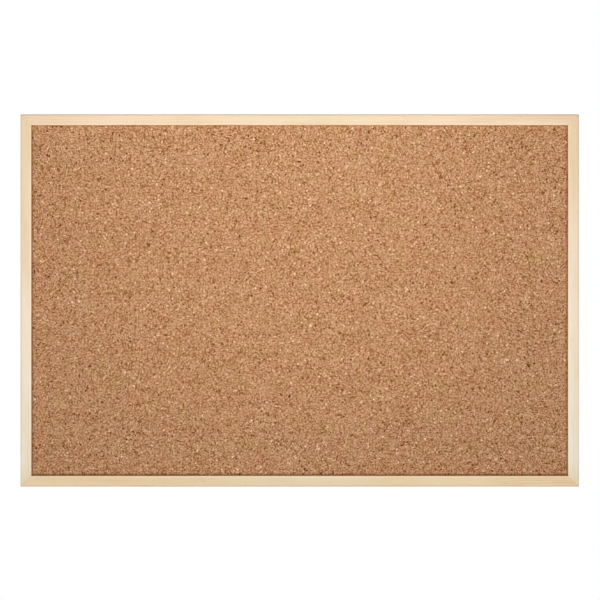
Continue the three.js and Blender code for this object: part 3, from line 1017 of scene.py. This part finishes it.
def makeScrew(side):
    s = screw
    h = hangers[side]
    seat = h["screwTop"] - s["headHeight"] * mm
    tipY = (h["screwTip"] - seat) / mm
    angles = [2 * math.pi * i / s["sides"] for i in range(s["sides"])]
    rows = []
    count = int(-tipY / s["pitch"] * s["rowsPerPitch"])
    for y in np.linspace(tipY + s["tipCut"], -s["neck"], count):
        rows.append([(threadRadius(y, a, tipY), y) for a in angles])
    rows.append([(s["core"] / 2, 0)] * s["sides"])
    radius, top, edge = s["head"] / 2, s["headHeight"], s["headEdge"]
    profile = list(arc((radius - edge, edge), edge, -90, 0, s["edgeSteps"]))
    profile += [(radius * math.cos(a), s["rim"] + (top - s["rim"]) * math.sin(a))
                for a in np.linspace(0, math.radians(s["domeEnd"]), s["domeSteps"])]
    rows += [[point] * s["sides"] for point in profile]
    loops = [[(h["x"] + r * math.cos(a) * mm, seat + y * mm, h["screwZ"] + r * math.sin(a) * mm)
              for (r, y), a in zip(row, angles)] for row in rows]
    piece = skin("pan_screw_" + side, loops)
    half, slot = s["recess"] / 2, s["slot"] / 2
    cross = [(half, slot), (slot, slot), (slot, half)]
    for _ in range(3):
        cross += [(-v, u) for u, v in cross[-3:]]
    turn = math.radians(s["recessTurn"])
    cos, sin = math.cos(turn), math.sin(turn)
    cutter = skin("recess", [[(h["x"] + (u * cos - v * sin) * grow * mm, seat + (top + y) * mm,
                               h["screwZ"] + (u * sin + v * cos) * grow * mm) for u, v in cross]
                             for y, grow in s["recessTaper"]])
    cutAway(piece, [cutter])
    bpy.data.objects.remove(cutter)
    finishPiece(piece, zinc, "board", "screw_" + side, smooth=32)


for side in hangers:
    makeStrap(side)
    makeRing(side)
    makeScrew(side)
print("hangers")


# Bumper: a moulded rubber button with a drafted side, a soft arris and the mould's dimple
bumper = {
    "arris": 1.0,
    "draft": 0.12,
    "foot": [(-0.25, 0), (0, 0.15), (0, 0.5)],  # (beyond its radius, height), where it was trimmed
    "dimple": [(1.2, 0), (1.0, 0.08), (0.66, 0.2125), (0.22, 0.25)],  # (radius, depth)
    "sides": 64,
    "arcSteps": 8,
}


def makeBumper(side):
    b = bumper
    low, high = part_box("bumper_" + side)
    centre = (low + high) / 2
    radius = (high.x - low.x) / 2 / mm
    height = (high.y - low.y) / mm
    top = radius - b["draft"]
    profile = [(radius + beyond, y) for beyond, y in b["foot"]]
    profile += arc((top - b["arris"], height - b["arris"]), b["arris"], 0, 90, b["arcSteps"])
    profile += [(r, height - depth) for r, depth in b["dimple"]]
    loops = [[(centre.x + u * mm, low.y + y * mm, centre.z + v * mm) for u, v in circle(r, b["sides"])]
             for r, y in profile]
    piece = skin("rubber_button_" + side, loops)
    finishPiece(piece, rubber, "board", "bumper_" + side, smooth=40)


for side in hangers:
    makeBumper(side)
print("bumpers")


# V-nails: rolled strip, bent, with the front edge ground sharp
def makeNail(name, sideX, sideZ):
    n = nail
    low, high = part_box(name)
    sections = [(high.y, n["burr"]), (high.y - n["burr"] * mm, 0)]
    sections += [(low.y + n["grind"] * mm, 0), (low.y, n["ground"])]
    piece = nailSolid(name.replace("v_nail", "bent_nail"), sideX, sideZ, sections)
    finishPiece(piece, nailSteel, "board", name, smooth=25)


for sideZ, corner in ((-1, "bottom"), (1, "top")):
    for sideX, side in ((-1, "left"), (1, "right")):
        for row in (1, 2):
            makeNail("v_nail_%s_%s_%d" % (corner, side, row), sideX, sideZ)
print("nails")


# Softboard core: edges torn a little by the saw
softboardSheet = {"pitch": 12, "torn": 0.25, "seed": 9}


def makeCore():
    c = softboardSheet
    low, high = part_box("softboard_core")
    rng = np.random.default_rng(c["seed"])

    def stations(first, last):
        return np.linspace(first, last, int((last - first) / (c["pitch"] * mm)) + 1)

    gridX, gridZ, _ = sheetGrid(low, high, stations)
    torn = rng.random(gridX.shape) * c["torn"] * mm
    for grid in (gridX, gridZ):
        first, last = grid == grid.min(), grid == grid.max()
        grid[first] += torn[first]
        grid[last] -= torn[last]
    piece = slab("fibre_core", np.stack([gridX, np.full(gridX.shape, low.y), gridZ], -1), high.y)
    finishPiece(piece, softboard, "board", "softboard_core", smooth=30)


makeCore()
print("core")


# Light: a plain pale room, a soft lamp low on each side, a wide one in front, above the middle,
# and two behind
light = {
    "room": 0.317,  # strength, like those of the lamps
    "frontLamp": 0.28,
    "frontTurn": 38,  # degrees to each side
    "frontRise": -32,  # degrees, from below
    "backLamp": 0.38,
    "backTurn": 145,
    "backRise": 30,
    "softness": 14,  # degrees
    "topLamp": 0.62,
    "topSize": 0.65,  # metres
    "topSpread": 80,  # degrees
    "topPlace": (0.0, -0.52, 0.16),  # metres from the middle of the board
    "white": "#ffffff",
}
floor = {  # in metres
    "width": 40,
    "front": -20,
    "back": 2.0,
    "drop": 0.75,  # below the middle of the board
    "paint": "#d6d6d3",
    "lift": 0.45,  # added for the camera alone, so that the floor is pale and keeps its shadow
}


def makeWorld():
    world = bpy.data.worlds.new("pale_room")
    bpy.context.scene.world = world
    world.use_nodes = True
    tree = world.node_tree
    tree.nodes.clear()
    add = partial(addNode, tree)
    seen = add("LightPath", output="Is Camera Ray")
    rays = seen.node.outputs
    seen = add("Math", (seen, rays["Is Glossy Ray"]), operation="MAXIMUM")
    seen = add("Math", (seen, rays["Is Transmission Ray"]), operation="MAXIMUM")
    room = add("Background", {"Color": linear(light["white"]), "Strength": light["room"]})
    paper = add("Background", {"Color": linear(light["white"]), "Strength": 1.0})
    add("OutputWorld", (add("MixShader", (seen, room, paper)),))


# A lamp that shines from a direction
def aimLamp(name, kind, place, direction, **settings):
    data = bpy.data.lights.new(name, kind)
    for setting, value in settings.items():
        setattr(data, setting, value)
    lamp = bpy.data.objects.new(name, data)
    lamp.location = place
    lamp.rotation_euler = direction.to_track_quat("Z", "Y").to_euler()
    lamp.visible_camera = False
    bpy.context.scene.collection.objects.link(lamp)


def makeLamps():
    for name in ("front", "back"):
        for side in (-1, 1):
            turn, rise = math.radians(light[name + "Turn"]), math.radians(light[name + "Rise"])
            level = math.cos(rise)
            source = Vector((side * math.sin(turn) * level, -math.cos(turn) * level, math.sin(rise)))
            aimLamp(name + "_lamp", "SUN", middle + source, source,
                    energy=light[name + "Lamp"] * math.pi, angle=math.radians(light["softness"]))
    aimLamp("top_lamp", "AREA", middle + Vector(light["topPlace"]), Vector((0, -1, 0)),
            energy=light["topLamp"], size=light["topSize"], spread=math.radians(light["topSpread"]))


# Seen from above only, so that it doesn't hide the board from a camera below it
def makeFloor():
    f = floor
    half = f["width"] / 2
    low = middle.z - f["drop"]
    near, far = f["front"], f["back"]
    corners = [(-half, near, low), (half, near, low), (half, far, low), (-half, far, low)]
    piece = meshObject("floor", corners, [(0, 1, 2, 3)])
    material, shader, add, _ = newMaterial("painted_floor", Roughness=0.9)
    shader.inputs["Base Color"].default_value = linear(f["paint"])
    seen = add("LightPath", output="Is Camera Ray")
    lift = add("Math", (seen, f["lift"]), operation="MULTIPLY")
    shader.inputs["Emission Color"].default_value = linear(light["white"])
    wire(shader, Emission_Strength=lift)
    below = add("NewGeometry", output="Backfacing")
    surface = add("MixShader", (below, shader.outputs["BSDF"], add("BsdfTransparent")))
    material.node_tree.links.new(surface, material.node_tree.nodes["Material Output"].inputs["Surface"])
    piece.data.materials.append(material)
    piece.visible_shadow = False  # the low lamps shine through it
    piece.visible_diffuse = False


makeWorld()
makeLamps()
makeFloor()
bpy.context.scene.view_settings.view_transform = "Standard"
print("light")
